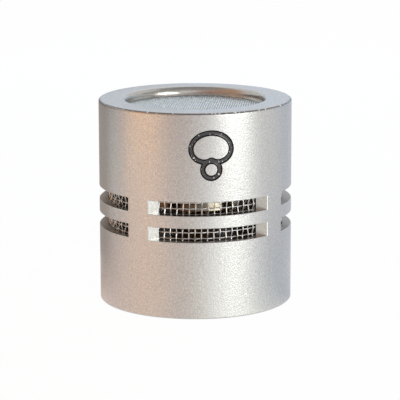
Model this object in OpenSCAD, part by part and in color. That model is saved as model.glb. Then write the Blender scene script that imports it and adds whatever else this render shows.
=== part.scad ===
// Interchangeable condenser microphone capsule head, front grille up.
// Origin: centre of the rear face. +Z points out of the front grille.
// The engraved pickup-pattern mark faces -Y.

/* [Housing] */
// Outside diameter of the housing
body_d = 24; // [22:0.5:30]
// Height of the plain band above the slots
head_h = 10.825; // [10.4:0.1:16]
// Bevel on the front outer edge
top_chamfer = 0.28; // [0.1:0.02:0.6]
// Bevel on the rear outer edge
base_chamfer = 0.16; // [0.05:0.01:0.5]
// Wall around the cartridge
front_wall = 2.1; // [1.6:0.1:2.6]
// Wall behind the slots
slot_wall = 1.1; // [0.8:0.1:1.3]
// Wall around the rear contact disc
contact_wall = 1.65; // [1.5:0.05:1.8]
// Wall around the mounting thread, measured to its crests
thread_wall = 1.4; // [1.2:0.05:1.5]
// Free length of the mounting thread
thread_len = 4.5; // [3:0.5:8]
// Bevel at the mouth of the mounting thread
mouth_chamfer = 0.35; // [0.1:0.05:0.6]
// Radial step that the rear contact disc seats on
rib_step = 0.4; // [0.3:0.05:0.6]
// Thickness of that inner rib
rib_t = 0.7; // [0.5:0.1:1.5]

/* [Front lip] */
// Thickness of the lip in front of the grille
lip_t = 1.1; // [0.8:0.1:2]
// Overhang of the lip over the grille's edge
lip_w = 1.35; // [0.9:0.05:1.8]
// Width of the polished roll around the front opening
lip_roll_w = 0.45; // [0.2:0.05:0.7]
// Straight depth of the opening below that roll
lip_land = 0.1; // [0.05:0.05:0.5]

/* [Slots] */
// Slots around the body
slot_count = 4; // [3:1:4]
// Rows of slots
slot_rows = 2; // [1:1:3]
// Height of a slot
slot_h = 1.7; // [1:0.1:2.5]
// Height of the web between the rows
slot_web = 1.55; // [1:0.05:3]
// Angle that a slot takes up on the outside, in degrees
slot_span = 75.6; // [60:0.2:80]
// Diameter of the disc cutter that leaves the slot's hollow ends
cutter_d = 50; // [40:1:80]
// Housing wall from the outer slots to the end of the screen recess
recess_margin = 0.925; // [0.5:0.025:1.5]

/* [Pattern mark] */
// Length of the front lobe, along its centreline
lobe_len = 3.12; // [2.5:0.02:4]
// Sideways stretch of the front lobe
lobe_stretch = 1.22; // [1:0.02:1.3]
// Diameter of the rear lobe, along its centreline
ring_d = 2.08; // [1.6:0.02:2.6]
// Distance from the cusp of the front lobe down to the middle of the rear lobe
ring_drop = 1.34; // [1:0.02:1.6]
// Width of the engraved line
mark_line = 0.66; // [0.4:0.02:0.8]
// Depth of the engraving
mark_depth = 0.15; // [0.1:0.01:0.3]
// How far the enamel lies below the surface
mark_recess = 0.04; // [0.02:0.01:0.08]
// Distance from the front face down to the mark
mark_top_gap = 2.05; // [1:0.05:3]

/* [Screens] */
// Thickness of the front grille
grille_t = 0.2; // [0.15:0.01:0.4]
// Wires across the front grille, each way
grille_wires = 9; // [5:1:9]
// Width of a grille wire
grille_wire = 0.5; // [0.2:0.05:0.7]
// Solid rim of the grille outside the opening
grille_rim = 0.25; // [0.1:0.05:0.5]
// Thickness of the side screen
screen_t = 0.4; // [0.2:0.05:0.5]
// Wires of the side screen around the body
screen_posts = 40; // [24:1:40]
// Rows of gaps in the side screen
screen_rows = 3; // [1:1:3]
// Width of a screen wire
screen_wire = 0.5; // [0.2:0.05:0.7]
// Open seam where the ends of the screen strip meet
screen_seam = 0.3; // [0.1:0.05:0.6]

/* [Cartridge] */
// Height of the ring that presses the grille against the lip
grille_ring_h = 1.4; // [0.8:0.1:2]
// Width of that ring
grille_ring_w = 0.95; // [0.6:0.05:1.2]
// Thickness of the clamp ring
clamp_t = 1.0; // [0.8:0.1:1.4]
// Thickness of the metallised film
film_t = 0.05; // [0.04:0.01:0.08]
// Thickness of the washer that sets the air gap
gap_t = 0.05; // [0.04:0.01:0.1]
// Height of the insulating holder
holder_h = 3.5; // [3:0.1:4]
// Wall of the holder around the backplate
holder_wall = 2.45; // [2.3:0.05:2.9]
// Ledge of the holder under the backplate
ledge_w = 1.0; // [0.6:0.1:1.4]
// Thickness of the backplate
plate_t = 2.1; // [1.6:0.1:2.4]
// Diameter of the holes in the backplate
plate_hole_d = 0.8; // [0.5:0.05:0.9]
// Distance between the circles of those holes
plate_hole_pitch = 1.6; // [1.4:0.05:2]
// Thickness of the silk behind the backplate
silk_t = 0.2; // [0.1:0.05:0.4]
// Thickness of the phase plate's flange
flange_t = 0.6; // [0.5:0.1:1]
// Width of the phase plate's flange under the holder
flange_w = 1.2; // [0.8:0.1:1.4]
// Diameter of the phase plate's ports
port_d = 0.9; // [0.6:0.05:1]
// Height of the ring that locks the cartridge
lock_h = 1.4; // [1:0.1:1.6]
// Width of the lock rings
lock_w = 1.5; // [1.2:0.1:1.8]
// Width of the spanner notches in the lock rings
notch_w = 1.4; // [1:0.1:2]
// Depth of the spanner notches
notch_h = 0.6; // [0.4:0.1:0.8]

/* [Cartridge screws] */
// Number of clamp screws
screw_count = 6; // [4:1:8]
// Thread diameter of a clamp screw
screw_d = 1.1; // [1:0.05:1.2]
// Head diameter of a clamp screw
screw_head_d = 2.0; // [1.8:0.05:2.1]
// Length of a clamp screw, head included
screw_len = 2.8; // [2.2:0.1:3.4]
// Width of the driver slots
driver_slot = 0.25; // [0.2:0.05:0.35]

/* [Terminal and contact] */
// Front diameter of the brass cup that closes the rear cavity
cup_d = 10.6; // [9.4:0.2:10.8]
// How much further out the cup reaches at its rear
cup_flare = 1.1; // [0.4:0.1:1.3]
// Wall of the cup
cup_wall = 0.8; // [0.6:0.1:1.2]
// Floor of the cup
cup_floor = 1.6; // [1.4:0.1:2]
// Thread diameter of the terminal screw
terminal_d = 1.6; // [1.2:0.1:2]
// Head diameter of the terminal screw
terminal_head_d = 3.8; // [3.7:0.1:4.4]
// Head height of the terminal screw
terminal_head_t = 0.8; // [0.6:0.1:1]
// Length of terminal thread in the backplate
terminal_grip = 1.2; // [0.8:0.1:1.4]
// Outside diameter of the contact spring
spring_d = 3.4; // [3.3:0.05:3.7]
// Fitted height of the contact spring
spring_h = 2.6; // [1.8:0.1:3]
// Wire diameter of the contact spring
spring_wire = 0.35; // [0.25:0.05:0.4]
// Turns of the contact spring
spring_turns = 4; // [3:0.5:5]
// Thickness of the rear contact disc
disc_t = 2.0; // [1.5:0.1:3]
// Thread diameter of the contact pin
pin_d = 2.4; // [2:0.1:2.5]
// Head diameter of the contact pin
pin_head_d = 5.0; // [4:0.1:6]
// Head height of the contact pin
pin_head_t = 0.8; // [0.5:0.1:1.2]
// Length of the contact pin above its nut
pin_tip = 0.5; // [0.3:0.1:1]
// Width of the contact nut across its corners
nut_corners = 5.6; // [5:0.1:6.4]
// Thickness of the contact nut
nut_t = 1.5; // [1:0.1:2]
// Diameter of the washer under the nut
washer_d = 6.4; // [6:0.1:7]
// Thickness of the washer under the nut
washer_t = 0.2; // [0.15:0.05:0.4]

/* [Fits] */
// Radial gap between pieces that slide together
slide_fit = 0.05; // [0.02:0.01:0.08]
// Radial gap that stands for a thread's running clearance
thread_fit = 0.02; // [0.01:0.01:0.04]

/* [Hidden] */
// Small overlap that makes cuts pass cleanly through
cut = 0.1;
$fn = 96;
small_fn = 32;

// Radii from the outside in
body_r = body_d / 2;
front_bore_r = body_r - front_wall;
recess_r = body_r - slot_wall;
contact_bore_r = body_r - contact_wall;
thread_r = body_r - thread_wall;
rib_r = contact_bore_r - rib_step;
opening_r = front_bore_r - lip_w;
cartridge_r = front_bore_r - slide_fit;
pocket_r = cartridge_r - holder_wall;
ledge_r = pocket_r - ledge_w;
plate_r = pocket_r - slide_fit;
spigot_r = ledge_r - slide_fit;
screw_circle_r = (pocket_r + cartridge_r) / 2;
cup_r = cup_d / 2;

// Heights from the rear face up to the slots
lock_base_z = thread_len;
disc_base_z = lock_base_z + lock_h;
disc_top_z = disc_base_z + disc_t;
recess_base_z = disc_top_z + rib_t;
slots_base_z = recess_base_z + recess_margin;
slot_pitch = slot_h + slot_web;
slots_top_z = slots_base_z + slot_rows * slot_pitch - slot_web;
recess_top_z = slots_top_z + recess_margin;
body_h = slots_top_z + head_h;

// Heights of the contact column
nut_base_z = disc_top_z + washer_t;
nut_top_z = nut_base_z + nut_t;
cup_base_z = nut_top_z + spring_h;

// Heights of the cartridge, from the front lip down
grille_top_z = body_h - lip_t;
grille_base_z = grille_top_z - grille_t;
clamp_top_z = grille_base_z - grille_ring_h;
clamp_base_z = clamp_top_z - clamp_t;
film_base_z = clamp_base_z - film_t;
holder_top_z = film_base_z - gap_t;
holder_base_z = holder_top_z - holder_h;
plate_base_z = holder_top_z - plate_t;
silk_base_z = plate_base_z - silk_t;
cup_top_z = holder_base_z - flange_t;

// Slot cutter
slot_edge = [body_r * sin(slot_span / 2), body_r * cos(slot_span / 2)];
cutter_r = cutter_d / 2;
cutter_off = slot_edge.y + sqrt(cutter_r * cutter_r - slot_edge.x * slot_edge.x);

// Circles of holes in the backplate that lie clear of the ledge under it
hole_circles = floor((spigot_r - plate_hole_d / 2) / plate_hole_pitch);
// The phase plate lets air in outside the cup and into its cavity
outer_port_circle_r = (cup_r + spigot_r) / 2;
inner_port_circle_r = cup_r - cup_wall - port_d;
port_count = 8;

// Section of the lip's roll, from the front face down into the opening
lip_steps = 4;
lip_roll_h = lip_t - lip_land;
lip_roll = [
    for (i = [lip_steps : -1 : 0])
        let (t = 90 * i / lip_steps)
        [opening_r + lip_roll_w * (1 - cos(t)), body_h - lip_roll_h * (1 - sin(t))]
];

// The pattern mark's centrelines
lobe_steps = 48;
cusp_z = body_h - mark_top_gap - mark_line / 2 - lobe_len;

// Ring between two radii and two heights
module ring(inner, outer, base, top) {
    translate([0, 0, base]) difference() {
        cylinder(r = outer, h = top - base);
        translate([0, 0, -cut]) cylinder(r = inner, h = top - base + 2 * cut);
    }
}

// Round bar between two heights
module bar(radius, base, top, facets = small_fn) {
    translate([0, 0, base]) cylinder(r = radius, h = top - base, $fn = facets);
}

// Children repeated on a circle
module around(count, radius) {
    for (i = [0 : count - 1])
        rotate([0, 0, i * 360 / count]) translate([radius, 0, 0]) children();
}

// One point of the front lobe: a cardioid stretched sideways, shifted along its normal
function lobe_point(t, shift) =
    let (
        r = lobe_len * (1 + cos(t)) / 2,
        tangent = [
            lobe_stretch * lobe_len * (cos(t) + cos(2 * t)) / 2,
            -lobe_len * (sin(t) + sin(2 * t)) / 2
        ],
        normal = [-tangent.y, tangent.x] / norm(tangent)
    )
    [lobe_stretch * r * sin(t), r * cos(t)] + shift * normal;

// Points of the lobe from one side of the cusp round to the other
function lobe_points(reach, shift) = [
    for (i = [0 : lobe_steps])
        lobe_point(reach * (2 * i / lobe_steps - 1), shift)
];

// Prism with the section of the engraved line, cusp of the lobe on the Z axis
module mark_prism(depth) {
    half = mark_line / 2;
    difference() {
        union() {
            linear_extrude(height = depth) polygon(lobe_points(120, half));
            translate([0, -ring_drop, 0]) cylinder(r = ring_d / 2 + half, h = depth);
        }
        translate([0, 0, -cut]) linear_extrude(height = depth + 2 * cut)
            polygon(concat(lobe_points(160, -half), [[0, half / 2]]));
        translate([0, -ring_drop, -cut]) cylinder(r = ring_d / 2 - half, h = depth + 2 * cut);
    }
}

// The mark wrapped on the front of the housing between two radii
module mark_solid(inner, outer) {
    intersection() {
        ring(inner, outer, slots_top_z, body_h);
        translate([0, 0, cusp_z]) rotate([90, 0, 0]) mark_prism(outer + cut);
    }
}

module slots() {
    for (row = [0 : slot_rows - 1], i = [0 : slot_count - 1])
        rotate([0, 0, i * 360 / slot_count])
            translate([0, -cutter_off, slots_base_z + row * slot_pitch])
                cylinder(r = cutter_r, h = slot_h);
}

module housing() {
    color("silver") difference() {
        rotate_extrude() polygon(concat(
            [
                [thread_r + mouth_chamfer, 0],
                [body_r - base_chamfer, 0],
                [body_r, base_chamfer],
                [body_r, body_h - top_chamfer],
                [body_r - top_chamfer, body_h]
            ],
            lip_roll,
            [
                [opening_r, grille_top_z],
                [front_bore_r, grille_top_z],
                [front_bore_r, recess_top_z],
                [recess_r, recess_top_z],
                [recess_r, recess_base_z],
                [rib_r, recess_base_z],
                [rib_r, disc_top_z],
                [contact_bore_r, disc_top_z],
                [contact_bore_r, thread_len],
                [thread_r, thread_len],
                [thread_r, mouth_chamfer]
            ]
        ));
        slots();
        mark_solid(body_r - mark_depth, body_r + cut);
    }
}

module pattern_mark() {
    color("dimgray") mark_solid(body_r - mark_depth, body_r - mark_recess);
}

// Woven disc: wires one way lie over the wires the other way
module front_grille() {
    grille_r = front_bore_r - slide_fit;
    open_r = opening_r + grille_rim;
    pitch = 2 * open_r / (grille_wires + 1);
    wire_h = 0.6 * grille_t;
    color("lightsteelblue") {
        ring(open_r, grille_r, grille_base_z, grille_top_z);
        for (turn = [0, 1])
            intersection() {
                bar(open_r + grille_rim / 2, grille_base_z, grille_top_z, 96);
                for (i = [1 : grille_wires])
                    rotate([0, 0, 90 * turn])
                        translate([
                            i * pitch - open_r - grille_wire / 2,
                            -open_r - grille_rim,
                            grille_base_z + turn * (grille_t - wire_h)
                        ])
                            cube([grille_wire, 2 * (open_r + grille_rim), wire_h]);
            }
    }
}

// Woven strip rolled into a tube behind the slots, with its seam at the back
module side_screen() {
    outer = recess_r - slide_fit;
    inner = outer - screen_t;
    base = recess_base_z;
    top = recess_top_z - 2 * slide_fit;
    row_h = (top - base - screen_wire) / screen_rows;
    step = 360 / screen_posts;
    gap_w = 2 * PI * outer / screen_posts - screen_wire;
    seam_gap = round(0.375 * screen_posts) + 0.5;
    color("gray") difference() {
        ring(inner, outer, base, top);
        for (row = [0 : screen_rows - 1], i = [0 : screen_posts - 1])
            rotate([0, 0, (i + 0.5) * step])
                translate([inner - 1, -gap_w / 2, base + screen_wire + row * row_h])
                    cube([screen_t + 2, gap_w, row_h - screen_wire]);
        rotate([0, 0, seam_gap * step])
            translate([inner - 1, -screen_seam / 2, base - cut])
                cube([screen_t + 2, screen_seam, top - base + 2 * cut]);
    }
}

module grille_ring() {
    color("gainsboro")
        ring(cartridge_r - grille_ring_w, cartridge_r, clamp_top_z, grille_base_z);
}

// One countersunk clamp screw, its head flush with the clamp ring
module clamp_screw(grow = 0) {
    shank_r = screw_d / 2 + grow;
    head_r = screw_head_d / 2 + grow;
    head_h = head_r - shank_r;
    translate([0, 0, clamp_top_z - head_h])
        cylinder(r1 = shank_r, r2 = head_r, h = head_h, $fn = small_fn);
    bar(shank_r, clamp_top_z - screw_len - grow, clamp_top_z - head_h);
}

module clamp_ring() {
    color("goldenrod") difference() {
        ring(pocket_r, cartridge_r, clamp_base_z, clamp_top_z);
        around(screw_count, screw_circle_r) clamp_screw(thread_fit);
    }
}

module clamp_screws() {
    color("silver") around(screw_count, screw_circle_r) difference() {
        clamp_screw();
        translate([-screw_head_d, -driver_slot / 2, clamp_top_z - driver_slot])
            cube([2 * screw_head_d, driver_slot, driver_slot + cut]);
    }
}

module diaphragm() {
    color("gold") difference() {
        bar(cartridge_r, film_base_z, clamp_base_z, 96);
        around(screw_count, screw_circle_r)
            bar(screw_d / 2 + slide_fit, film_base_z - cut, clamp_base_z + cut);
    }
}

module diaphragm_spacer() {
    color("khaki") difference() {
        ring(pocket_r, cartridge_r, holder_top_z, film_base_z);
        around(screw_count, screw_circle_r)
            bar(screw_d / 2 + slide_fit, holder_top_z - cut, film_base_z + cut);
    }
}

module backplate() {
    color("goldenrod") difference() {
        bar(plate_r, plate_base_z, holder_top_z, 96);
        for (i = [1 : hole_circles])
            around(6 * i, i * plate_hole_pitch)
                bar(plate_hole_d / 2, plate_base_z - cut, holder_top_z + cut);
        bar(terminal_d / 2 + thread_fit, plate_base_z - cut, plate_base_z + terminal_grip);
    }
}

module backplate_holder() {
    color("ivory") difference() {
        bar(cartridge_r, holder_base_z, holder_top_z, 96);
        bar(pocket_r, plate_base_z, holder_top_z + cut, 96);
        bar(ledge_r, holder_base_z - cut, plate_base_z + cut, 96);
        around(screw_count, screw_circle_r) clamp_screw(thread_fit);
    }
}

module damping_silk() {
    color("whitesmoke")
        ring(terminal_d / 2 + slide_fit, spigot_r, silk_base_z, plate_base_z);
}

// Flanged disc that clamps the silk and feeds the sound that comes in through the slots
module phase_plate() {
    color("darkgoldenrod") difference() {
        union() {
            bar(ledge_r + flange_w, cup_top_z, holder_base_z, 96);
            bar(spigot_r, cup_top_z, silk_base_z, 96);
        }
        around(port_count, outer_port_circle_r)
            bar(port_d / 2, cup_top_z - cut, silk_base_z + cut);
        around(port_count, inner_port_circle_r)
            bar(port_d / 2, cup_top_z - cut, silk_base_z + cut);
        bar(terminal_d / 2 + slide_fit, cup_top_z - cut, silk_base_z + cut);
    }
}

module rear_cup() {
    color("peru") difference() {
        translate([0, 0, cup_base_z])
            cylinder(r1 = cup_r + cup_flare, r2 = cup_r, h = cup_top_z - cup_base_z);
        bar(cup_r - cup_wall, cup_base_z + cup_floor, cup_top_z + cut, 96);
        bar(terminal_d / 2 + slide_fit, cup_base_z - cut, cup_top_z);
        bar(terminal_head_d / 2 + slide_fit, cup_base_z - cut, cup_base_z + terminal_head_t);
    }
}

module terminal_screw() {
    color("gold") difference() {
        union() {
            bar(terminal_head_d / 2, cup_base_z, cup_base_z + terminal_head_t);
            bar(terminal_d / 2, cup_base_z, plate_base_z + terminal_grip - slide_fit);
        }
        translate([-driver_slot, -terminal_head_d, cup_base_z - cut])
            cube([2 * driver_slot, 2 * terminal_head_d, terminal_head_t / 2 + cut]);
    }
}

// Ring with two spanner notches in its rear face
module lock_ring(outer, base) {
    difference() {
        ring(outer - lock_w, outer, base, base + lock_h);
        translate([-outer - cut, -notch_w / 2, base - cut])
            cube([2 * (outer + cut), notch_w, notch_h + cut]);
    }
}

module cartridge_lock_ring() {
    color("darkgray") lock_ring(front_bore_r - thread_fit, holder_base_z - lock_h);
}

// Helix of round wire with a closed coil at each end
module contact_spring() {
    sides = 8;
    rings_per_turn = 20;
    rings = ceil(spring_turns * rings_per_turn);
    wire_r = spring_wire / 2;
    coil_r = spring_d / 2 - wire_r;
    rise = spring_h - spring_wire;
    coil_rise = spring_wire * 1.04;
    heights = [
        [0, 0], [1, coil_rise], [spring_turns - 1, rise - coil_rise], [spring_turns, rise]
    ];
    points = [
        for (i = [0 : rings], j = [0 : sides - 1])
            let (
                turn = i * spring_turns / rings,
                side = j * 360 / sides,
                r = coil_r + wire_r * cos(side)
            )
            [
                r * cos(360 * turn),
                r * sin(360 * turn),
                nut_top_z + wire_r + lookup(turn, heights) + wire_r * sin(side)
            ]
    ];
    last = rings * sides;
    faces = concat(
        [[for (j = [0 : sides - 1]) j]],
        [[for (j = [sides - 1 : -1 : 0]) last + j]],
        [
            for (i = [0 : rings - 1], j = [0 : sides - 1])
                let (k = (j + 1) % sides)
                [i * sides + j, (i + 1) * sides + j, (i + 1) * sides + k, i * sides + k]
        ]
    );
    color("darkgoldenrod") polyhedron(points = points, faces = faces);
}

module contact_nut() {
    color("gold") difference() {
        bar(nut_corners / 2, nut_base_z, nut_top_z, 6);
        bar(pin_d / 2 + thread_fit, nut_base_z - cut, nut_top_z + cut);
    }
}

module contact_washer() {
    color("silver")
        ring(pin_d / 2 + slide_fit, washer_d / 2, disc_top_z, nut_base_z);
}

module contact_insulator() {
    color("saddlebrown")
        ring(pin_d / 2 + slide_fit, contact_bore_r - slide_fit, disc_base_z, disc_top_z);
}

module contact_pin() {
    color("gold") {
        bar(pin_head_d / 2, disc_base_z - pin_head_t, disc_base_z);
        bar(pin_d / 2, disc_base_z - pin_head_t, nut_top_z + pin_tip);
    }
}

module contact_lock_ring() {
    color("darkgray") lock_ring(contact_bore_r - thread_fit, lock_base_z);
}

housing();
pattern_mark();
front_grille();
side_screen();
grille_ring();
clamp_ring();
clamp_screws();
diaphragm();
diaphragm_spacer();
backplate();
backplate_holder();
damping_silk();
phase_plate();
rear_cup();
terminal_screw();
cartridge_lock_ring();
contact_spring();
contact_nut();
contact_washer();
contact_insulator();
contact_pin();
contact_lock_ring();
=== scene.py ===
"""Looks of a screw-on condenser microphone capsule: finishes, woven screens and engraved mark."""

import math

import bmesh
import bpy
from mathutils import Matrix, Vector
from mathutils.geometry import delaunay_2d_cdt


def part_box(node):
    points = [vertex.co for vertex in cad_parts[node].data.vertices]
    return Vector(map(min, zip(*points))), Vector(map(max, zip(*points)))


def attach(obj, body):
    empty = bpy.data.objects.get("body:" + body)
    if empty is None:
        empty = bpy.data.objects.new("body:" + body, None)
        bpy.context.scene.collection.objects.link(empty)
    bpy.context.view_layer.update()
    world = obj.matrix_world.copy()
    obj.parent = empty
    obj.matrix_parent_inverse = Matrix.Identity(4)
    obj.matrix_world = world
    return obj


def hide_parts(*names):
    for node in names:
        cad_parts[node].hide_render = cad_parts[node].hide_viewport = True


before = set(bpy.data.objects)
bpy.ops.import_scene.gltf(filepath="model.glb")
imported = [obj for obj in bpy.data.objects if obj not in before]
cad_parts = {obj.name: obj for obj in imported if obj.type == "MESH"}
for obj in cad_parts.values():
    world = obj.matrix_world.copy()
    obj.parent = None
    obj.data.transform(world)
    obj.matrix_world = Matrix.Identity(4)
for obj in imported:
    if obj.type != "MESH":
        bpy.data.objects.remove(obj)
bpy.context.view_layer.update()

# Lengths are in millimetres until a mesh is made, and angles in degrees until a point is.
MM = 0.001


def low(node):
    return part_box(node)[0] / MM


def high(node):
    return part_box(node)[1] / MM


# Sizes that the frame gives
BODY_R = high("housing").x
BODY_H = high("housing").z
CARTRIDGE_R = high("clamp_ring").x
GRILLE_TOP = high("front_grille").z
GRILLE_BASE = low("front_grille").z
GRILLE_MIDDLE = (GRILLE_TOP + GRILLE_BASE) / 2
SCREEN_R = high("side_screen").x
SCREEN_BASE = low("side_screen").z
SCREEN_TOP = high("side_screen").z
DISC_TOP = high("contact_insulator").z
DISC_R = high("contact_insulator").x
THREAD_TOP = low("contact_lock_ring").z
MARK_TOP = high("pattern_mark").z

# Sizes of the housing
SLIDE_FIT = 0.05
TOP_BEVEL = 0.28
BASE_BEVEL = 0.16
OPENING_R = 8.55
LIP_BEVEL = 0.45
LIP_DEPTH = 1.0
FRONT_BORE_R = CARTRIDGE_R + SLIDE_FIT
RECESS_R = SCREEN_R + SLIDE_FIT
RECESS_TOP = SCREEN_TOP + 2 * SLIDE_FIT
CONTACT_BORE_R = DISC_R + SLIDE_FIT
RIB_WIDTH = 0.4
RIB_R = CONTACT_BORE_R - RIB_WIDTH

# Sizes of the rear socket's thread. The profile has each line's share of the pitch, and 1 for a
# line at the root.
THREAD_WALL = 1.4
THREAD_R = BODY_R - THREAD_WALL
THREAD_PITCH = 0.75
THREAD_DEPTH = 0.4
THREAD_PROFILE = ((0.0, 0), (0.25, 0), (0.5625, 1), (0.6875, 1))
MOUTH_BEVEL = 0.35

# Sizes of the slots
SLOTS_AROUND = 4
SECTOR = 360 / SLOTS_AROUND
SLOT_ROWS = 2
SLOT_H = 1.7
SLOT_WEB = 1.55
SLOT_RISE = 0.925
SLOT_BASES = [SCREEN_BASE + SLOT_RISE + row * (SLOT_H + SLOT_WEB) for row in range(SLOT_ROWS)]
SLOT_HALF_ANGLE = 37.8
CUTTER_R = 25.0
SLOT_RIM = 0.05
RIM_END = SLOT_HALF_ANGLE + math.degrees(SLOT_RIM / BODY_R)

# Sizes of the mark. A cardioid of length 1 is twice CARDIOID_HALF wide. The three after it are
# angles at the cusp, counted from the lobe's tip: where the hole's edge ends, where the line's
# middle ends, and a span in which the lobe meets the circle.
LOBE_LEN = 3.12
LOBE_STRETCH = 1.22
CARDIOID_HALF = 0.65
HOLE_END = 160.0
MIDDLE_END = 118.0
MEET_BETWEEN = (90.0, 125.0)
RING_R = 1.04
RING_DROP = 1.34
MARK_HALF = 0.33
MARK_DEPTH = 0.15
MARK_RIM = 0.022
CUSP_Z = MARK_TOP - MARK_HALF - LOBE_LEN

# The enamel climbs over ENAMEL_EDGE, and the outer ENAMEL_SLOPE of that gets a darker copy of the
# enamel: painted shade.
ENAMEL_SAG = 0.07
ENAMEL_EDGE = 0.16
ENAMEL_FOOT = 0.8 * ENAMEL_EDGE
ENAMEL_SLOPE = 0.5

# Sizes of the woven wire. The painted highlight on the warp's crests starts and ends at these
# shares of its diameter over its middle.
GRILLE_PITCH = 0.29
GRILLE_WARP = 0.19
GRILLE_WEFT = 0.055
WARP_SWING = 0.02
WEFT_SWING = (GRILLE_TOP - GRILLE_BASE - GRILLE_WEFT) / 2
CREST_HIGHLIGHT_SPAN = (0.2, 0.35)
GRILLE_TURN = 14.0
SCREEN_WIRES = 88
SCREEN_PITCH = 0.737
SCREEN_WIRE = 0.165
SCREEN_PHASE = -1.6
SCREEN_LEAN = 0.14
HOOP_BASE = 0.433
HOOP_TILT = 0.09
SEAM = 137.0

# Detail of the meshes
WINDOW_COLUMNS = 52
HOLLOW_COLUMNS = 6
BRIDGE_COLUMNS = 8
SLOT_DEPTH_STEPS = 4
EDGE_STEPS = 6
# Bands of the top edge's roll that carry the painted dark line with painted glints
PAINTED_EDGE_FROM, PAINTED_EDGE_TO = 2, 5
SHARP_ANGLE = 24.0
WELD = 0.001
BLOCK_ROWS = 12
LATTICE_GAP = 0.12
MERGE_GAP = 1e-6
CIRCLE_POINTS = 40
LOBE_STEPS = 40
HOLE_STEPS = 36
MIDDLE_STEPS = 30
MEET_HALVINGS = 30
SCREEN_SIDES = 8
SCREEN_STEPS = 4
GRILLE_SIDES = 5
GRILLE_STEPS = 3

# Finishes of the housing, in the order of its materials. EDGE, FLAT and BORE are darkened as
# painted shade, and EDGE also has painted glints.
SATIN, EDGE, RIM, POLISHED, CUT, FLAT, BORE = range(7)


def polar(angle, r, z):
    """A point at an angle from the mark's side, which faces -Y, counted towards +X."""
    a = math.radians(angle)
    return (r * math.sin(a), -r * math.cos(a), z)


def mix(a, b, share):
    return a + (b - a) * share


def add_object(name, data):
    made = bpy.data.objects.new(name, data)
    bpy.context.scene.collection.objects.link(made)
    return made


def add_material(name):
    material = bpy.data.materials.new(name)
    material.use_nodes = True
    return material, material.node_tree.nodes, material.node_tree.links


class Skin:
    """Faces gathered patch by patch in millimetres and welded into one object."""

    def __init__(self):
        self.points = []
        self.faces = []
        self.finishes = []
        self.turned = []

    def add(self, points, faces, finish=0, turned=False):
        """turned marks faces that lie on a cylinder around the axis and shade as one."""
        start = len(self.points)
        self.points += points
        self.faces += [[start + i for i in face] for face in faces]
        self.finishes += [finish] * len(faces)
        self.turned += [turned] * len(faces)

    def grid(self, rows, finish=0, closed=True, turned=False, skip=None):
        """Quads between neighbouring rows of points."""
        width = len(rows[0])
        faces = []
        for i in range(len(rows) - 1):
            for j in range(width if closed else width - 1):
                if skip and skip(i, j):
                    continue
                k = (j + 1) % width
                here, there = i * width, (i + 1) * width
                faces.append((here + j, here + k, there + k, there + j))
        self.add([p for row in rows for p in row], faces, finish, turned)

    def build(self, name, materials):
        mesh = bpy.data.meshes.new(name)
        bm = bmesh.new()
        is_turned = bm.faces.layers.int.new("turned")
        corners = [bm.verts.new((x * MM, y * MM, z * MM)) for x, y, z in self.points]
        for face, finish, turned in zip(self.faces, self.finishes, self.turned):
            made = bm.faces.new([corners[i] for i in face])
            made.material_index = finish
            made.smooth = True
            made[is_turned] = int(turned)
        bmesh.ops.remove_doubles(bm, verts=bm.verts, dist=WELD * MM)
        bmesh.ops.dissolve_degenerate(bm, edges=bm.edges, dist=WELD * MM)
        bmesh.ops.recalc_face_normals(bm, faces=bm.faces)
        for edge in bm.edges:
            edge.smooth = edge.calc_face_angle(0.0) < math.radians(SHARP_ANGLE)
        turned = [bool(face[is_turned]) for face in bm.faces]
        bm.to_mesh(mesh)
        bm.free()
        for material in materials:
            mesh.materials.append(material)
        if any(turned):
            shade_turned(mesh, turned)
        return add_object(name, mesh)


def shade_turned(mesh, turned):
    """Exact normals on the faces that lie on the turned wall, so triangles there don't show."""
    normals = [(0.0, 0.0, 0.0)] * len(mesh.loops)
    for polygon in mesh.polygons:
        if not turned[polygon.index]:
            continue
        outward = Vector((polygon.center.x, polygon.center.y, 0))
        side = 1.0 if polygon.normal.dot(outward) > 0 else -1.0
        for loop in polygon.loop_indices:
            corner = mesh.vertices[mesh.loops[loop].vertex_index].co
            normals[loop] = side * Vector((corner.x, corner.y, 0)).normalized()
    mesh.normals_split_custom_set(normals)


def slot_end(r):
    """Half the angle that a slot takes up at a radius: where the disc cutter's edge lies."""
    edge_x = BODY_R * math.sin(math.radians(SLOT_HALF_ANGLE))
    edge_y = BODY_R * math.cos(math.radians(SLOT_HALF_ANGLE))
    reach = edge_y + math.sqrt(CUTTER_R**2 - edge_x**2)
    return math.degrees(math.acos((r**2 + reach**2 - CUTTER_R**2) / (2 * r * reach)))


def columns(end=RIM_END):
    """Angles around the body. The first ones of each sector span a slot, from -end to end."""
    angles = []
    for k in range(SLOTS_AROUND):
        middle = k * SECTOR
        angles += [middle + end * (2 * i / WINDOW_COLUMNS - 1) for i in range(WINDOW_COLUMNS)]
        bridge = (SECTOR - 2 * end) / BRIDGE_COLUMNS
        angles += [middle + end + bridge * i for i in range(BRIDGE_COLUMNS)]
    return angles


def ring(r, z, end=RIM_END):
    return [polar(a, r, z) for a in columns(end)]


def in_window(column):
    return column % (WINDOW_COLUMNS + BRIDGE_COLUMNS) < WINDOW_COLUMNS


def in_hollow(column):
    """Whether a column of a slot's flat sides lies in a hollow end, where the cutter runs out."""
    return min(column, WINDOW_COLUMNS - 1 - column) < HOLLOW_COLUMNS


def wall_heights(base, top, rim):
    """Heights of the lines around a wall, and which of its rows lie in the slots."""
    heights = [base]
    slot_rows = []
    for slot_base in SLOT_BASES:
        heights += [slot_base - rim, slot_base + SLOT_H + rim]
        slot_rows.append(len(heights) - 2)
    return heights + [top], slot_rows


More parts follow.
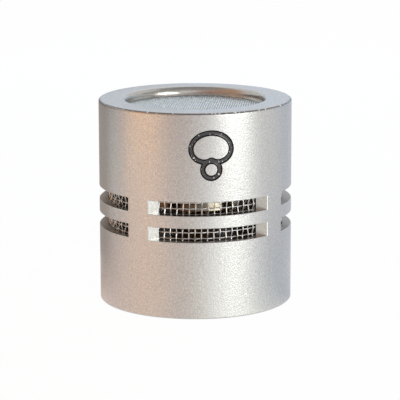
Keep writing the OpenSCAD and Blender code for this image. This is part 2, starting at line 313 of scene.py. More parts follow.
def outer_wall(skin):
    """The plain outside, with its slot windows and an open block that the mark's area fills."""
    heights, slot_rows = wall_heights(BASE_BEVEL, BODY_H - TOP_BEVEL, SLOT_RIM)
    top = heights.pop()
    first_block_row = len(heights)
    block = block_heights()
    heights += block + [top]
    block_rows = range(first_block_row, first_block_row + len(block) - 1)
    block_columns = block_column_range()

    def skip(i, j):
        return (i in slot_rows and in_window(j)) or (i in block_rows and j in block_columns)

    skin.grid([ring(BODY_R, z) for z in heights], SATIN, turned=True, skip=skip)


def slot_edge(middle, side, r, end, z):
    """A point of a slot's edge: at side -1 or 1 it is an end, and between them along the slot."""
    return polar(middle + side * end, r, z)


def slot_walls(skin):
    """Burnished rims, flat sides and hollow ends of the slots."""
    shares = [2 * i / WINDOW_COLUMNS - 1 for i in range(WINDOW_COLUMNS + 1)]
    radii = [mix(BODY_R - SLOT_RIM, RECESS_R, i / SLOT_DEPTH_STEPS)
             for i in range(SLOT_DEPTH_STEPS + 1)]
    for k in range(SLOTS_AROUND):
        middle = k * SECTOR
        for base in SLOT_BASES:
            top = base + SLOT_H
            for z, away in ((base, -SLOT_RIM), (top, SLOT_RIM)):
                rim = [slot_edge(middle, s, BODY_R, RIM_END, z + away) for s in shares]
                rows = [[slot_edge(middle, s, r, slot_end(r), z) for s in shares] for r in radii]
                skin.grid([rim, rows[0]], RIM, closed=False)
                # The flat sides get FLAT, whose dark colour is painted shade.
                skin.grid(rows, FLAT, closed=False, skip=lambda i, j: in_hollow(j))
                skin.grid(rows, CUT, closed=False, skip=lambda i, j: not in_hollow(j))
            for side in (-1, 1):
                rim = [slot_edge(middle, side, BODY_R, RIM_END, z)
                       for z in (base - SLOT_RIM, top + SLOT_RIM)]
                rows = [[slot_edge(middle, side, r, slot_end(r), z) for z in (base, top)]
                        for r in radii]
                skin.grid([rim, rows[0]], RIM, closed=False)
                skin.grid(rows, CUT, closed=False)


def recess_wall(skin):
    heights, slot_rows = wall_heights(SCREEN_BASE, RECESS_TOP, 0.0)
    end = slot_end(RECESS_R)
    skin.grid([ring(RECESS_R, z, end) for z in heights], BORE,
              skip=lambda i, j: i in slot_rows and in_window(j))


def rounded(finish, middle_r, middle_z, reach, height):
    """Bands of an edge that rolls over from a wall, reach away from its middle, to a top face."""
    turns = [math.radians(90 * i / EDGE_STEPS) for i in range(EDGE_STEPS + 1)]
    rings = [ring(middle_r + reach * math.cos(t), middle_z + height * math.sin(t))
             for t in turns]
    return [(finish, one, other) for one, other in zip(rings, rings[1:])]


def turned_steps(skin):
    """Every other turned face, from the outer top edge in and down to the rear face."""
    end = slot_end(RECESS_R)
    top_edge = rounded(SATIN, BODY_R - TOP_BEVEL, BODY_H - TOP_BEVEL, TOP_BEVEL, TOP_BEVEL)
    front = [
        *top_edge[:PAINTED_EDGE_FROM],
        # These bands get EDGE: a painted dark line with painted glints.
        *[(EDGE, one, other) for _, one, other in top_edge[PAINTED_EDGE_FROM:PAINTED_EDGE_TO]],
        *top_edge[PAINTED_EDGE_TO:],
        (SATIN, ring(BODY_R - TOP_BEVEL, BODY_H), ring(OPENING_R + LIP_BEVEL, BODY_H)),
        *rounded(POLISHED, OPENING_R + LIP_BEVEL, BODY_H - LIP_DEPTH, -LIP_BEVEL, LIP_DEPTH),
        (POLISHED, ring(OPENING_R, BODY_H - LIP_DEPTH), ring(OPENING_R, GRILLE_TOP)),
        (BORE, ring(OPENING_R, GRILLE_TOP), ring(FRONT_BORE_R, GRILLE_TOP)),
        (BORE, ring(FRONT_BORE_R, GRILLE_TOP), ring(FRONT_BORE_R, RECESS_TOP)),
        (BORE, ring(FRONT_BORE_R, RECESS_TOP), ring(RECESS_R, RECESS_TOP, end)),
    ]
    rear = [
        (BORE, ring(RECESS_R, SCREEN_BASE, end), ring(RIB_R, SCREEN_BASE)),
        (BORE, ring(RIB_R, SCREEN_BASE), ring(RIB_R, DISC_TOP)),
        (BORE, ring(RIB_R, DISC_TOP), ring(CONTACT_BORE_R, DISC_TOP)),
        (BORE, ring(CONTACT_BORE_R, DISC_TOP), ring(CONTACT_BORE_R, THREAD_TOP)),
        (BORE, ring(CONTACT_BORE_R, THREAD_TOP), ring(THREAD_R, THREAD_TOP)),
        (RIM, ring(THREAD_R, MOUTH_BEVEL), ring(THREAD_R + MOUTH_BEVEL, 0)),
        (SATIN, ring(THREAD_R + MOUTH_BEVEL, 0), ring(BODY_R - BASE_BEVEL, 0)),
        (CUT, ring(BODY_R - BASE_BEVEL, 0), ring(BODY_R, BASE_BEVEL)),
    ]
    for finish, one, other in front + rear:
        skin.grid([one, other], finish)


def thread_wall(skin):
    """Helical thread of the rear socket, running out into a plain bore at both ends."""
    angles = columns() + [columns()[0] + 360]
    turns = math.ceil((THREAD_TOP - MOUTH_BEVEL) / THREAD_PITCH) + 2

    def point(turn, share, root, angle):
        z = THREAD_PITCH * (turn + share - (angle - angles[0]) / 360)
        inside = min(z, THREAD_TOP - z + MOUTH_BEVEL) - MOUTH_BEVEL
        fade = min(max(inside / THREAD_PITCH, 0.0), 1.0)
        r = THREAD_R + root * fade * THREAD_DEPTH
        return polar(angle, r, min(max(z, MOUTH_BEVEL), THREAD_TOP))

    skin.grid([[point(turn, share, root, a) for a in angles]
               for turn in range(turns) for share, root in THREAD_PROFILE],
              BORE, closed=False)


def lobe_point(t, shift):
    """A point of the front lobe, a cardioid stretched sideways, moved out along its normal."""
    r = LOBE_LEN * (1 + math.cos(t)) / 2
    along_x = LOBE_STRETCH * (math.cos(t) + math.cos(2 * t))
    along_z = -(math.sin(t) + math.sin(2 * t))
    out = Vector((-along_z, along_x)).normalized()
    return Vector((LOBE_STRETCH * r * math.sin(t), CUSP_Z + r * math.cos(t))) + shift * out


def circle(r, first=0.0, last=360.0):
    """Points of the rear lobe's circle between two angles, counted from straight up."""
    angles = [math.radians(mix(first, last, i / CIRCLE_POINTS)) for i in range(CIRCLE_POINTS)]
    return [Vector((r * math.sin(a), CUSP_Z - RING_DROP + r * math.cos(a))) for a in angles]


def outer_outline(shift):
    """Around both lobes: the front lobe down to where it meets the circle, then the circle."""
    middle = Vector((0.0, CUSP_Z - RING_DROP))
    r = RING_R + shift
    outside, inside = [math.radians(a) for a in MEET_BETWEEN]
    for _ in range(MEET_HALVINGS):
        t = (outside + inside) / 2
        if (lobe_point(t, shift) - middle).length > r:
            outside = t
        else:
            inside = t
    meet = lobe_point(outside, shift) - middle
    angle = math.degrees(math.atan2(meet.x, meet.y))
    lobe = [lobe_point(outside * (i / LOBE_STEPS - 1), shift) for i in range(2 * LOBE_STEPS)]
    return lobe + circle(r, angle, 360 - angle)


def lobe_hole(shift):
    """Edge of the field inside the front lobe, with a low peak at the cusp."""
    limit = math.radians(HOLE_END)
    points = [lobe_point(limit * (i / HOLE_STEPS - 1), -shift)
              for i in range(2 * HOLE_STEPS + 1)]
    return points + [Vector((0.0, CUSP_Z + shift - MARK_HALF / 2))]


def mark_outlines(shift):
    return [outer_outline(shift), lobe_hole(shift), circle(RING_R - shift)]


def encloses(outline, p):
    hit = False
    for a, b in zip(outline, outline[1:] + outline[:1]):
        if (a.y > p.y) != (b.y > p.y) and p.x < a.x + (p.y - a.y) * (b.x - a.x) / (b.y - a.y):
            hit = not hit
    return hit


def in_mark(outlines, p):
    outside, *holes = outlines
    return encloses(outside, p) and not any(encloses(hole, p) for hole in holes)


def edge_distance(outlines, p):
    """Distance to the nearest edge of the mark."""
    nearest = math.inf
    for outline in outlines:
        for a, b in zip(outline, outline[1:] + outline[:1]):
            along = b - a
            share = min(max((p - a).dot(along) / along.length_squared, 0.0), 1.0)
            nearest = min(nearest, (p - a - share * along).length)
    return nearest


def triangles(outlines, extra):
    """Triangles over the outlines and extra points, laid flat as (distance around, height)."""
    points = list(extra)
    edges = []
    for outline in outlines:
        start = len(points)
        points += outline
        edges += [(start + i, start + (i + 1) % len(outline)) for i in range(len(outline))]
    made = delaunay_2d_cdt(points, edges, [], 0, MERGE_GAP, False)
    return made[0], made[2]


def wrap(p, depth=0.0):
    """A flat point laid on the outside of the housing, or depth under it."""
    return polar(math.degrees(p.x / BODY_R), BODY_R - depth, p.y)


def centroid(points, face):
    return sum((points[i] for i in face), Vector((0.0, 0.0))) / len(face)


def block_column_range():
    """Columns around the mark that its own triangles fill."""
    half_width = LOBE_STRETCH * CARDIOID_HALF * LOBE_LEN + 2 * MARK_HALF
    half = math.ceil(half_width / BODY_R / math.radians(2 * RIM_END / WINDOW_COLUMNS))
    return range(WINDOW_COLUMNS // 2 - half, WINDOW_COLUMNS // 2 + half)


def block_heights():
    """Heights of the lines around the block that the mark's own triangles fill."""
    base = CUSP_Z - RING_DROP - RING_R - 2 * MARK_HALF
    top = MARK_TOP + MARK_HALF
    return [mix(base, top, i / BLOCK_ROWS) for i in range(BLOCK_ROWS + 1)]


def mark_area(skin):
    """The housing's outside around the mark, and the groove with its broken edges."""
    rims = mark_outlines(MARK_HALF + MARK_RIM)
    walls = mark_outlines(MARK_HALF)
    heights = block_heights()
    around = columns()
    block_columns = block_column_range()
    places = [BODY_R * math.radians(around[j]) for j in (*block_columns, block_columns.stop)]
    lattice = []
    for x in places:
        for z in heights:
            p = Vector((x, z))
            on_border = x in (places[0], places[-1]) or z in (heights[0], heights[-1])
            if on_border or edge_distance(rims, p) > LATTICE_GAP:
                lattice.append(p)
    points, faces = triangles(rims, lattice)
    kept = [f for f in faces if not in_mark(rims, centroid(points, f))]
    skin.add([wrap(p) for p in points], kept, SATIN, turned=True)
    for rim, wall in zip(rims, walls):
        edge = [wrap(p, MARK_RIM) for p in wall]
        skin.grid([[wrap(p) for p in rim], edge], RIM)
        skin.grid([edge, [wrap(p, MARK_DEPTH) for p in wall]], CUT)
    points, faces = groove_triangles(walls)
    skin.add([wrap(p, MARK_DEPTH) for p in points], faces, CUT)


def groove_triangles(walls):
    """Triangles over the engraved line, with points along its middle and the foot of its edges."""
    limit = math.radians(MIDDLE_END)
    middle = [lobe_point(limit * (i / MIDDLE_STEPS - 1), 0.0) for i in range(2 * MIDDLE_STEPS + 1)]
    foot = [p for outline in mark_outlines(MARK_HALF - ENAMEL_EDGE) for p in outline
            if edge_distance(walls, p) > ENAMEL_FOOT]
    points, faces = triangles(walls, foot + middle + circle(RING_R))
    return points, [f for f in faces if in_mark(walls, centroid(points, f))]


def make_enamel(materials):
    """Enamel in the groove: it climbs up both edges and lies flat between them."""
    walls = mark_outlines(MARK_HALF)
    points, faces = groove_triangles(walls)
    shares = [min(edge_distance(walls, p) / ENAMEL_EDGE, 1.0) for p in points]
    surface = [wrap(p, MARK_RIM + ENAMEL_SAG * share) for p, share in zip(points, shares)]
    slope = [f for f in faces if min(shares[i] for i in f) < ENAMEL_SLOPE]
    skin = Skin()
    skin.add(surface, [f for f in faces if f not in slope], 0)
    # The slope gets the darker enamel: painted shade.
    skin.add(surface, slope, 1)
    skin.add([wrap(p, MARK_DEPTH) for p in points], faces)
    for wall in walls:
        skin.grid([[wrap(p, MARK_RIM) for p in wall], [wrap(p, MARK_DEPTH) for p in wall]])
    return skin.build("mark_enamel", materials)


def make_housing(materials):
    skin = Skin()
    for part in (outer_wall, slot_walls, recess_wall, turned_steps, thread_wall, mark_area):
        part(skin)
    return skin.build("capsule_body", materials)


def sweep(skin, path, across, radius, sides):
    """A round wire along a path. across is square to the plane in which the wire waves."""
    points = []
    for i, p in enumerate(path):
        along = (path[min(i + 1, len(path) - 1)] - path[max(i - 1, 0)]).normalized()
        side = across[i]
        up = side.cross(along)
        for k in range(sides):
            a = 2 * math.pi * (k + 0.5) / sides
            points.append(tuple(p + radius * (math.cos(a) * side + math.sin(a) * up)))
    faces = [tuple(range(sides)), tuple(len(points) - 1 - k for k in range(sides))]
    for i in range(len(path) - 1):
        for k in range(sides):
            m = (k + 1) % sides
            here, there = i * sides, (i + 1) * sides
            faces.append((here + k, here + m, there + m, there + k))
    skin.add(points, faces)


def wave(position, pitch, swing, order):
    """How far a wire swings out where it passes over or under the crossing wires."""
    return swing * math.cos(math.pi * (position / pitch + order))


def hoop_height(hoop, angle=0.0):
    """Height of a hoop. The cloth isn't rolled up quite square, so the hoops tilt a little."""
    return SCREEN_BASE + HOOP_BASE + hoop * SCREEN_PITCH + HOOP_TILT * math.sin(math.radians(angle))


def make_side_screen(material):
    """Wire cloth rolled into a tube behind the slots: upright wires and hoops."""
    skin = Skin()
    swing = SCREEN_WIRE / 2
    middle_r = SCREEN_R - 2 * swing
    base, top = SCREEN_BASE + swing, SCREEN_TOP - swing
    count = round((top - base) / SCREEN_PITCH * SCREEN_STEPS)
    for i in range(SCREEN_WIRES):
        foot = SCREEN_PHASE + 360 * i / SCREEN_WIRES
        path = []
        for k in range(count + 1):
            z = mix(base, top, k / count)
            r = middle_r + wave(z - hoop_height(0, foot), SCREEN_PITCH, swing, i)
            path.append(Vector(polar(foot + SCREEN_LEAN * (z - SCREEN_BASE), r, z)))
        across = [Vector(polar(foot + 90, 1, 0))] * len(path)
        sweep(skin, path, across, SCREEN_WIRE / 2, SCREEN_SIDES)
    hoop = 0
    while hoop_height(hoop) < top - HOOP_TILT:
        path = []
        for k in range(SCREEN_WIRES * SCREEN_STEPS - 1):
            angle = SEAM + 360 * (k + 0.5) / SCREEN_WIRES / SCREEN_STEPS
            z = hoop_height(hoop, angle)
            lean = SCREEN_LEAN * (z - SCREEN_BASE)
            place = (angle - SCREEN_PHASE - lean) / 360 * SCREEN_WIRES
            path.append(Vector(polar(angle, middle_r + wave(place, 1.0, swing, hoop + 1), z)))
        across = [Vector((0, 0, 1))] * len(path)
        sweep(skin, path, across, SCREEN_WIRE / 2, SCREEN_SIDES)
        hoop += 1
    return skin.build("side_screen_cloth", [material])


def make_grille(name, turn, wire_d, swing, first, material):
    """One set of wires of the fine cloth behind the front lip."""
    skin = Skin()
    a = math.radians(turn)
    along = Vector((math.sin(a), math.cos(a), 0))
    across = Vector((math.cos(a), -math.sin(a), 0))
    reach = CARTRIDGE_R - wire_d
    wires = int(reach / GRILLE_PITCH)
    for i in range(-wires, wires + 1):
        offset = i * GRILLE_PITCH
        half = math.sqrt(reach**2 - offset**2)
        count = max(2, round(2 * half / GRILLE_PITCH * GRILLE_STEPS))
        path = []
        for k in range(count + 1):
            s = mix(-half, half, k / count)
            z = GRILLE_MIDDLE + wave(s, GRILLE_PITCH, swing, i + first)
            path.append(offset * across + s * along + Vector((0, 0, z)))
        sweep(skin, path, [across] * len(path), wire_d / 2, GRILLE_SIDES)
    return skin.build(name, [material])


# Most of a noise texture's values lie between these.
NOISE_LOW, NOISE_HIGH = 0.3, 0.7

# How far the roughness drifts either way: of turned metal, and of wire, plastic and cloth
TURNED_DRIFT = 0.06
DRIFT = 0.08

# How bright the painted shade on a warp wire's sides is, as a share of its painted crest highlight
PAINTED_SIDE_SHADE = 0.42


class Finish:
    """A procedural material: a base surface with noise on its colour, roughness and relief."""

    def __init__(self, name, color, roughness, metallic=1.0):
        self.material, self.nodes, self.links = add_material(name)
        self.bsdf = self.nodes["Principled BSDF"]
        self.place = self.nodes.new("ShaderNodeTexCoord").outputs["Object"]
        self.color = color
        self.bsdf.inputs["Metallic"].default_value = metallic
        self.bsdf.inputs["Base Color"].default_value = (*color, 1)
        self.bsdf.inputs["Roughness"].default_value = roughness

    def noise(self, size, detail=2.0, stretch=(1, 1, 1)):
        """Noise whose features are about size millimetres wide."""
        mapping = self.nodes.new("ShaderNodeMapping")
        mapping.inputs["Scale"].default_value = [s / (size * MM) for s in stretch]
        self.links.new(self.place, mapping.inputs["Vector"])
        texture = self.nodes.new("ShaderNodeTexNoise")
        texture.inputs["Scale"].default_value = 1.0
        texture.inputs["Detail"].default_value = detail
        self.links.new(mapping.outputs["Vector"], texture.inputs["Vector"])
        return texture.outputs["Fac"]

    def height(self):
        """Height over the object's foot, in metres."""
        split = self.nodes.new("ShaderNodeSeparateXYZ")
        self.links.new(self.place, split.inputs[0])
        return split.outputs["Z"]

    def remap(self, value, start, full, at_start=0.0, at_full=1.0):
        """at_start where the value is at start, at_full where it is at full."""
        ramp = self.nodes.new("ShaderNodeMapRange")
        ramp.inputs["From Min"].default_value = start
        ramp.inputs["From Max"].default_value = full
        ramp.inputs["To Min"].default_value = at_start
        ramp.inputs["To Max"].default_value = at_full
        self.links.new(value, ramp.inputs["Value"])
        return ramp.outputs["Result"]

    def roughen(self, value, least, most):
        """Roughness that follows a noise from least to most."""
        result = self.remap(value, NOISE_LOW, NOISE_HIGH, least, most)
        self.links.new(result, self.bsdf.inputs["Roughness"])

    def tint(self, value, other, start=NOISE_LOW, full=NOISE_HIGH):
        """Colour that drifts from the base colour to another as a value goes from start to full."""
        blend = self.nodes.new("ShaderNodeMix")
        blend.data_type = "RGBA"
        blend.inputs["A"].default_value = (*self.color, 1)
        blend.inputs["B"].default_value = (*other, 1)
        self.links.new(self.remap(value, start, full), blend.inputs["Factor"])
        self.links.new(blend.outputs["Result"], self.bsdf.inputs["Base Color"])

    def relief(self, value, height):
        """Bump of so many millimetres."""
        bump = self.nodes.new("ShaderNodeBump")
        bump.inputs["Strength"].default_value = 1.0
        bump.inputs["Distance"].default_value = height * MM
        self.links.new(value, bump.inputs["Height"])
        self.links.new(bump.outputs["Normal"], self.bsdf.inputs["Normal"])


def shade(color, share):
    return tuple(c * share for c in color)


def satin_nickel():
    """Bead-blasted and nickel-plated: soft lustre with a fine sparkling grain."""
    color = (0.6, 0.59, 0.578)
    finish = Finish("satin_nickel", color, 0.34)
    finish.tint(finish.noise(0.15, 1), shade(color, 0.72))
    finish.roughen(finish.noise(0.3), 0.3, 0.4)
    finish.relief(finish.noise(0.17, 2), 0.021)
    return finish.material


def edge_painted_shade_and_glints():
    """The rolled edge at the top: painted shade as a dark line, with painted glints as bright
    spots.
    """
    finish = Finish("edge_painted_shade_and_glints", (0.2, 0.185, 0.175), 0.34)
    # Bright spots where the noise peaks: painted glints on the painted dark line.
    finish.tint(finish.noise(0.4, 1), (0.9, 0.88, 0.85), 0.63, 0.7)
    return finish.material


def burnished_rim():
    """Broken edges of the slots and of the engraved line."""
    color = (0.7, 0.69, 0.67)
    finish = Finish("burnished_rim", color, 0.36)
    finish.tint(finish.noise(0.4), shade(color, 0.85))
    return finish.material


def polished_lip():
    """Roll of the front lip and the opening's wall under it."""
    color = (0.48, 0.46, 0.43)
    finish = Finish("polished_lip", color, 0.25)
    finish.tint(finish.noise(1.2), shade(color, 0.9))
    finish.relief(finish.noise(0.05, 1, (1, 1, 4)), 0.001)
    return finish.material


def cut_nickel():
    """Hollow ends of the slots, engraved groove and base bevel, cut clean before plating."""
    color = (0.56, 0.55, 0.53)
    finish = Finish("cut_nickel", color, 0.3)
    finish.tint(finish.noise(0.15), shade(color, 0.75))
    finish.relief(finish.noise(0.08, 1, (1, 1, 3)), 0.003)
    return finish.material


def slot_side_painted_shade():
    """Flat sides of the slots between their hollow ends, darkened as painted shade."""
    color = (0.34, 0.31, 0.285)
    finish = Finish("slot_side_painted_shade", color, 0.3)
    finish.tint(finish.noise(0.4), shade(color, 0.85))
    finish.relief(finish.noise(0.1, 1, (1, 1, 0.3)), 0.002)
    return finish.material


def bore_painted_shade():
    """Inside walls, dull from the tools, with a dark colour that is painted shade of the inside."""
    # Dark colour: painted shade of the housing's inside.
    color = (0.17, 0.155, 0.14)
    finish = Finish("bore_painted_shade", color, 0.38)
    finish.tint(finish.noise(0.5), shade(color, 0.8))
    finish.relief(finish.noise(0.1, 1, (0.2, 0.2, 3)), 0.004)
    return finish.material


def flat_enamel():
    """Dark enamel on the floor of the engraved line, with a few white specks that are painted
    glints.
    """
    finish = Finish("mark_enamel", (0.04, 0.042, 0.048), 0.25, metallic=0.0)
    # White specks where the noise peaks: painted glints.
    finish.tint(finish.noise(0.36, 1), (0.85, 0.85, 0.85), 0.645, 0.68)
    finish.roughen(finish.noise(0.2), 0.15, 0.35)
    return finish.material


def enamel_painted_shade():
    """The same enamel where it climbs up the edges of the line, much darker: painted shade."""
    finish = Finish("enamel_slope_painted_shade", (0.004, 0.004, 0.005), 0.6, metallic=0.0)
    finish.bsdf.inputs["IOR"].default_value = 1.15
    finish.tint(finish.noise(0.3), (0.01, 0.01, 0.012))
    return finish.material


def wire(name, color, roughness):
    """Drawn wire, also the film's metal coat."""
    finish = Finish(name, color, roughness)
    finish.tint(finish.noise(0.8), shade(color, 0.8))
    finish.roughen(finish.noise(0.3), roughness - DRIFT, roughness + DRIFT)
    return finish.material


def painted_crest_wire(name, color, roughness):
    """Warp wire of the fine cloth: painted highlight on its crests and painted shade on its sides,
    by height.
    """
    finish = Finish(name, shade(color, PAINTED_SIDE_SHADE), roughness)
    start, full = [(GRILLE_MIDDLE + share * GRILLE_WARP) * MM for share in CREST_HIGHLIGHT_SPAN]
    # Lighter towards the top of the wire: painted highlight on the crests, painted shade on the
    # sides.
    finish.tint(finish.height(), color, start, full)
    finish.roughen(finish.noise(0.3), roughness - DRIFT, roughness + DRIFT)
    return finish.material


def turned_metal(name, color, roughness):
    """Lathe-turned metal: fine grooves around the axis."""
    finish = Finish(name, color, roughness)
    finish.tint(finish.noise(0.7), shade(color, 0.85))
    finish.roughen(finish.noise(0.4), roughness - TURNED_DRIFT, roughness + TURNED_DRIFT)
    finish.relief(finish.noise(0.12, 1, (0.3, 0.3, 3)), 0.002)
    return finish.material


def plain(name, color, roughness, grain, height):
    """Plastic, laminate or cloth with a grain of that size and relief."""
    finish = Finish(name, color, roughness, metallic=0.0)
    finish.tint(finish.noise(4 * grain), shade(color, 0.82))
    finish.roughen(finish.noise(2 * grain), roughness - DRIFT, roughness + DRIFT)
    finish.relief(finish.noise(grain), height)
    return finish.material


def cad_finishes():
    """Finish of each node that is shown as it comes from the CAD. The dark parts inside carry
    painted shade.
    """
    return {
        "clamp_ring": turned_metal("clamp_brass", (0.78, 0.58, 0.28), 0.3),
        "backplate": turned_metal("backplate_brass", (0.8, 0.6, 0.3), 0.25),
        "phase_plate": turned_metal("phase_brass", (0.62, 0.45, 0.22), 0.35),
        # Dark colour of the cup: painted shade of the housing's inside.
        "rear_cup": turned_metal("polished_brass", (0.23, 0.2, 0.155), 0.2),
        "terminal_screw": turned_metal("terminal_gold", (0.9, 0.7, 0.35), 0.2),
        # Dark colour of the nut: painted shade of the housing's inside.
        "contact_nut": turned_metal("nut_gold_painted_shade", (0.2, 0.13, 0.07), 0.3),
        "contact_pin": turned_metal("pin_gold", (0.92, 0.72, 0.36), 0.18),
        # Dark colour of the spring: painted shade of the housing's inside.
        "contact_spring": wire("spring_bronze", (0.3, 0.18, 0.1), 0.3),
        "diaphragm": wire("gold_film", (0.9, 0.72, 0.4), 0.2),
        "grille_ring": turned_metal("ring_nickel", (0.62, 0.6, 0.57), 0.3),
        "cartridge_lock_ring": turned_metal("lock_nickel", (0.6, 0.58, 0.55), 0.34),
        "contact_lock_ring": turned_metal("rear_lock_nickel", (0.64, 0.62, 0.59), 0.3),
        # Dark colour of the washer: painted shade of the housing's inside.
        "contact_washer": turned_metal("washer_nickel_painted_shade", (0.2, 0.19, 0.18), 0.4),
        "clamp_screws": turned_metal("screw_steel", (0.6, 0.6, 0.61), 0.24),
        "backplate_holder": plain("holder_plastic", (0.72, 0.68, 0.58), 0.45, 0.2, 0.004),
        "diaphragm_spacer": plain("spacer_film", (0.55, 0.3, 0.08), 0.4, 0.3, 0.001),
        "contact_insulator": plain("brown_laminate", (0.05, 0.022, 0.012), 0.42, 0.15, 0.006),
        "damping_silk": plain("silk_cloth", (0.75, 0.73, 0.68), 0.85, 0.08, 0.02),
    }


def dress_cad_nodes():
    for node, material in cad_finishes().items():
        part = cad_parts[node]
        part.data.materials.clear()
        part.data.materials.append(material)


# Camera: it looks past the target, by AIM_RIGHT and AIM_UP
TARGET = Vector((0, 0, 13.0)) * MM
VIEW_AZIMUTH = -9.3
VIEW_ELEVATION = 11.77
VIEW_DISTANCE = 269.9 * MM
VIEW_ROLL = -0.13
LENS = 193.6
SENSOR_WIDTH = 36.0
CLIP_START = 10 * MM
AIM_RIGHT = 0.583 * MM
AIM_UP = -0.699 * MM

# Floor and room: FLOOR_GLOW is the white's share, and the rest keeps the object's shadow
FLOOR_HALF = 2000 * MM
FLOOR_TONE = (0.9, 0.9, 0.9)
FLOOR_ROUGHNESS = 0.3
FLOOR_GLOW = 0.97
ROOM_TONE = (0.55, 0.56, 0.58)

# Key lamp: direction from the camera, distance, size, colour and power
KEY_AZIMUTH = 47.6
KEY_ELEVATION = 5.75
KEY_DISTANCE = 1000 * MM
KEY_SIZE = (620 * MM, 250 * MM)
KEY_COLOR = (0.97, 1.0, 0.97)
KEY_POWER = 4.25

# Studio flats: azimuths from the camera and elevations that each spans, distance and colour.
# Those at CLOSE and NEAR show in reflections only.
PANEL_STEP = 8.0
CLOSE, NEAR, FAR = 26 * MM, 45 * MM, 220 * MM
PANELS = {
    "left_edge_panel": ((-178, -152), (-16, 20), NEAR, (0.2, 0.15, 0.12)),
    "left_side_panel": ((-152, -99), (-26, 24), CLOSE, (0.5, 0.45, 0.41)),
    "right_edge_panel": ((97, 172), (-26, 24), CLOSE, (0.77, 0.81, 0.88)),
    "far_left_panel": ((-160, -88), (-3.3, 13), FAR, (0.02, 0.01, 0.0)),
    "warm_panel": ((-88, -37), (-3.3, 3), FAR, (3.0, 1.5, 0.46)),
    "warm_dim_panel": ((-88, -37), (3, 13), FAR, (0.62, 0.36, 0.2)),
    "front_panel": ((-37, 2), (-3.3, 13), FAR, (0.5, 0.22, 0.12)),
    "cool_panel": ((105, 164), (-3.3, 13), FAR, (0.6, 0.77, 0.97)),
    "back_panel": ((164, 204), (-3.3, 9), FAR, (0.88, 1.06, 1.3)),
    "back_upper_panel": ((150, 210), (9, 24), FAR, (0.84, 0.96, 1.1)),
    "brown_panel": ((-88, -12), (13, 28), FAR, (0.7, 0.46, 0.37)),
    "hood_panel": ((28, 105), (13, 28), FAR, (0.43, 0.47, 0.45)),
    "warm_upper_panel": ((-100, -45), (28, 52), FAR, (0.75, 0.48, 0.32)),
    "front_upper_panel": ((-45, 80), (28, 52), FAR, (0.5, 0.47, 0.47)),
    "overhead_front_panel": ((-90, 90), (52, 88), FAR, (0.42, 0.41, 0.41)),
    "overhead_back_panel": ((90, 270), (52, 88), FAR, (0.9, 0.95, 1.0)),
}

# Card on the table around the object, which only reflections show: its colour at each azimuth
# from the camera.
CARD_LIFT = 0.05 * MM
CARD_REACH = (12.2 * MM, 60 * MM)
CARD_STEP = 4.0
CARD_TONES = (
    (-150, (0.97, 0.97, 0.97)),
    (-118, (0.68, 0.58, 0.52)),
    (-80, (1.06, 0.89, 0.82)),
    (-35, (1.1, 0.94, 0.85)),
    (-8, (1.0, 0.92, 0.86)),
    (14, (1.32, 1.34, 1.28)),
    (36, (1.26, 1.28, 1.22)),
    (88, (0.73, 0.78, 0.86)),
    (150, (0.97, 0.97, 0.97)),
)


def direction(azimuth, elevation):
    """Unit vector away from the object. Azimuth 0 is the mark's side, counted towards +X."""
    a, e = math.radians(azimuth), math.radians(elevation)
    return Vector((math.sin(a) * math.cos(e), -math.cos(a) * math.cos(e), math.sin(e)))


def face_towards(thing, forward, roll=0.0):
    """Turns a lamp or camera so that it looks along forward."""
    turn = forward.to_track_quat("-Z", "Y").to_matrix().to_4x4()
    thing.matrix_world = turn @ Matrix.Rotation(math.radians(roll), 4, "Z")


def make_camera():
    data = bpy.data.cameras.new("camera")
    data.lens = LENS
    data.sensor_width = SENSOR_WIDTH
    data.clip_start = CLIP_START
    camera = add_object("camera", data)
    back = direction(VIEW_AZIMUTH, VIEW_ELEVATION)
    right = Vector((0, 0, 1)).cross(back).normalized()
    up = back.cross(right)
    place = TARGET + VIEW_DISTANCE * back
    aim = TARGET + AIM_RIGHT * right + AIM_UP * up
    face_towards(camera, aim - place, VIEW_ROLL)
    camera.location = place
    bpy.context.scene.camera = camera


def make_key_lamp():
    """A soft rectangular lamp that looks at the object."""
    data = bpy.data.lights.new("key_right", "AREA")
    data.shape = "RECTANGLE"
    data.size, data.size_y = KEY_SIZE
    data.energy = KEY_POWER
    data.color = KEY_COLOR
    lamp = add_object("key_right", data)
    away = direction(KEY_AZIMUTH + VIEW_AZIMUTH, KEY_ELEVATION)
    face_towards(lamp, -away)
    lamp.location = TARGET + KEY_DISTANCE * away


def background_share(nodes, links):
    """1 for rays that should see the white background: camera, glossy and transmission."""
    path = nodes.new("ShaderNodeLightPath")
    total = path.outputs["Is Camera Ray"]
    for name in ("Is Glossy Ray", "Is Transmission Ray"):
        add = nodes.new("ShaderNodeMath")
        add.operation = "MAXIMUM"
        links.new(total, add.inputs[0])
        links.new(path.outputs[name], add.inputs[1])
        total = add.outputs[0]
    return total


def make_world():
    """A pale room that lights the object, and white where a camera or a mirror looks at it."""
    world = bpy.data.worlds.new("studio")
    world.use_nodes = True
    nodes, links = world.node_tree.nodes, world.node_tree.links
    light = nodes["Background"]
    light.inputs["Color"].default_value = (*ROOM_TONE, 1)
    white = nodes.new("ShaderNodeBackground")
    white.inputs["Color"].default_value = (1, 1, 1, 1)
    blend = nodes.new("ShaderNodeMixShader")
    links.new(background_share(nodes, links), blend.inputs[0])
    links.new(light.outputs[0], blend.inputs[1])
    links.new(white.outputs[0], blend.inputs[2])
    links.new(blend.outputs[0], nodes["World Output"].inputs["Surface"])
    bpy.context.scene.world = world


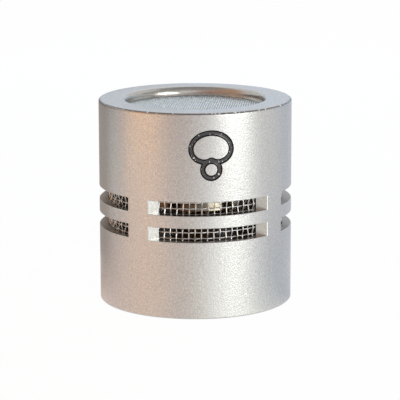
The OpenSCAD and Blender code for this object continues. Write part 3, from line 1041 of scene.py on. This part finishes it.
def make_floor():
    """Pale floor. For camera and mirrors most of it is white glow, the rest is lit and shaded."""
    mesh = bpy.data.meshes.new("floor")
    corners = [(x * FLOOR_HALF, y * FLOOR_HALF, 0) for x, y in ((-1, -1), (1, -1), (1, 1), (-1, 1))]
    mesh.from_pydata(corners, [], [(0, 1, 2, 3)])
    floor = add_object("floor", mesh)
    material, nodes, links = add_material("floor_white")
    surface = nodes["Principled BSDF"]
    surface.inputs["Base Color"].default_value = (*FLOOR_TONE, 1)
    surface.inputs["Roughness"].default_value = FLOOR_ROUGHNESS
    glow = nodes.new("ShaderNodeEmission")
    share = nodes.new("ShaderNodeMath")
    share.operation = "MULTIPLY"
    share.inputs[1].default_value = FLOOR_GLOW
    links.new(background_share(nodes, links), share.inputs[0])
    blend = nodes.new("ShaderNodeMixShader")
    links.new(share.outputs[0], blend.inputs[0])
    links.new(surface.outputs[0], blend.inputs[1])
    links.new(glow.outputs[0], blend.inputs[2])
    links.new(blend.outputs[0], nodes["Material Output"].inputs["Surface"])
    mesh.materials.append(material)


def make_flat(name, across, up, place, tone, near):
    """A studio flat of across by up faces, with its corners at place(u, v).

    It glows with the colour tone(u). The camera doesn't see it, and one that is near shows in
    reflections only.
    """
    points = [place(i / across, j / up) for i in range(across + 1) for j in range(up + 1)]
    faces = []
    for i in range(across):
        for j in range(up):
            first = i * (up + 1) + j
            faces.append((first, first + up + 1, first + up + 2, first + 1))
    mesh = bpy.data.meshes.new(name)
    mesh.from_pydata([tuple(p) for p in points], [], faces)
    tones = mesh.color_attributes.new("glow", "FLOAT_COLOR", "POINT")
    for k in range(len(points)):
        tones.data[k].color = (*tone(k // (up + 1) / across), 1)
    flat = add_object(name, mesh)
    flat.visible_camera = False
    flat.visible_diffuse = flat.visible_shadow = not near
    material, nodes, links = add_material(name)
    color = nodes.new("ShaderNodeAttribute")
    color.attribute_name = "glow"
    glow = nodes.new("ShaderNodeEmission")
    links.new(color.outputs["Color"], glow.inputs["Color"])
    links.new(glow.outputs[0], nodes["Material Output"].inputs["Surface"])
    mesh.materials.append(material)


def steps_in(span, step):
    return math.ceil((span[1] - span[0]) / step)


def make_panel(name, azimuths, elevations, distance, color):
    """A flat bent around the object."""
    def place(u, v):
        away = direction(VIEW_AZIMUTH + mix(*azimuths, u), mix(*elevations, v))
        return TARGET + distance * away

    make_flat(name, steps_in(azimuths, PANEL_STEP), steps_in(elevations, PANEL_STEP), place,
              lambda u: color, distance != FAR)


def card_tone(azimuth):
    """The table card's colour at an azimuth, between the two nearest rows of CARD_TONES."""
    for (a, color_a), (b, color_b) in zip(CARD_TONES, CARD_TONES[1:]):
        if azimuth <= b:
            return [mix(x, y, (azimuth - a) / (b - a)) for x, y in zip(color_a, color_b)]
    return CARD_TONES[-1][1]


def make_table_card():
    """A flat that lies on the floor around the object."""
    span = (CARD_TONES[0][0], CARD_TONES[-1][0])
    lift = Vector((0, 0, CARD_LIFT))

    def place(u, v):
        return mix(*CARD_REACH, v) * direction(VIEW_AZIMUTH + mix(*span, u), 0) + lift

    make_flat("table_card", steps_in(span, CARD_STEP), 1, place,
              lambda u: card_tone(mix(*span, u)), True)


def dress(piece, node):
    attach(piece, "root")
    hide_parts(node)


def main():
    make_camera()
    body = make_housing([satin_nickel(), edge_painted_shade_and_glints(), burnished_rim(), polished_lip(),
                         cut_nickel(), slot_side_painted_shade(), bore_painted_shade()])
    dress(body, "housing")
    dress(make_enamel([flat_enamel(), enamel_painted_shade()]), "pattern_mark")
    screen = make_side_screen(wire("screen_wire", (0.72, 0.71, 0.7), 0.42))
    dress(screen, "side_screen")
    finish = painted_crest_wire("warp_wire", (0.97, 1.0, 1.0), 0.2)
    warp = make_grille("grille_warp", GRILLE_TURN, GRILLE_WARP, WARP_SWING, 0, finish)
    dress(warp, "front_grille")
    # The weft is darker than the warp: painted shade between the warp wires.
    finish = wire("weft_wire_painted_shade", (0.82, 0.92, 1.0), 0.25)
    weft = make_grille("grille_weft", GRILLE_TURN + 90, GRILLE_WEFT, WEFT_SWING, 1, finish)
    dress(weft, "front_grille")
    dress_cad_nodes()
    make_world()
    make_floor()
    make_key_lamp()
    for name, flat in PANELS.items():
        make_panel(name, *flat)
    make_table_card()
    bpy.context.scene.view_settings.view_transform = "Standard"


main()
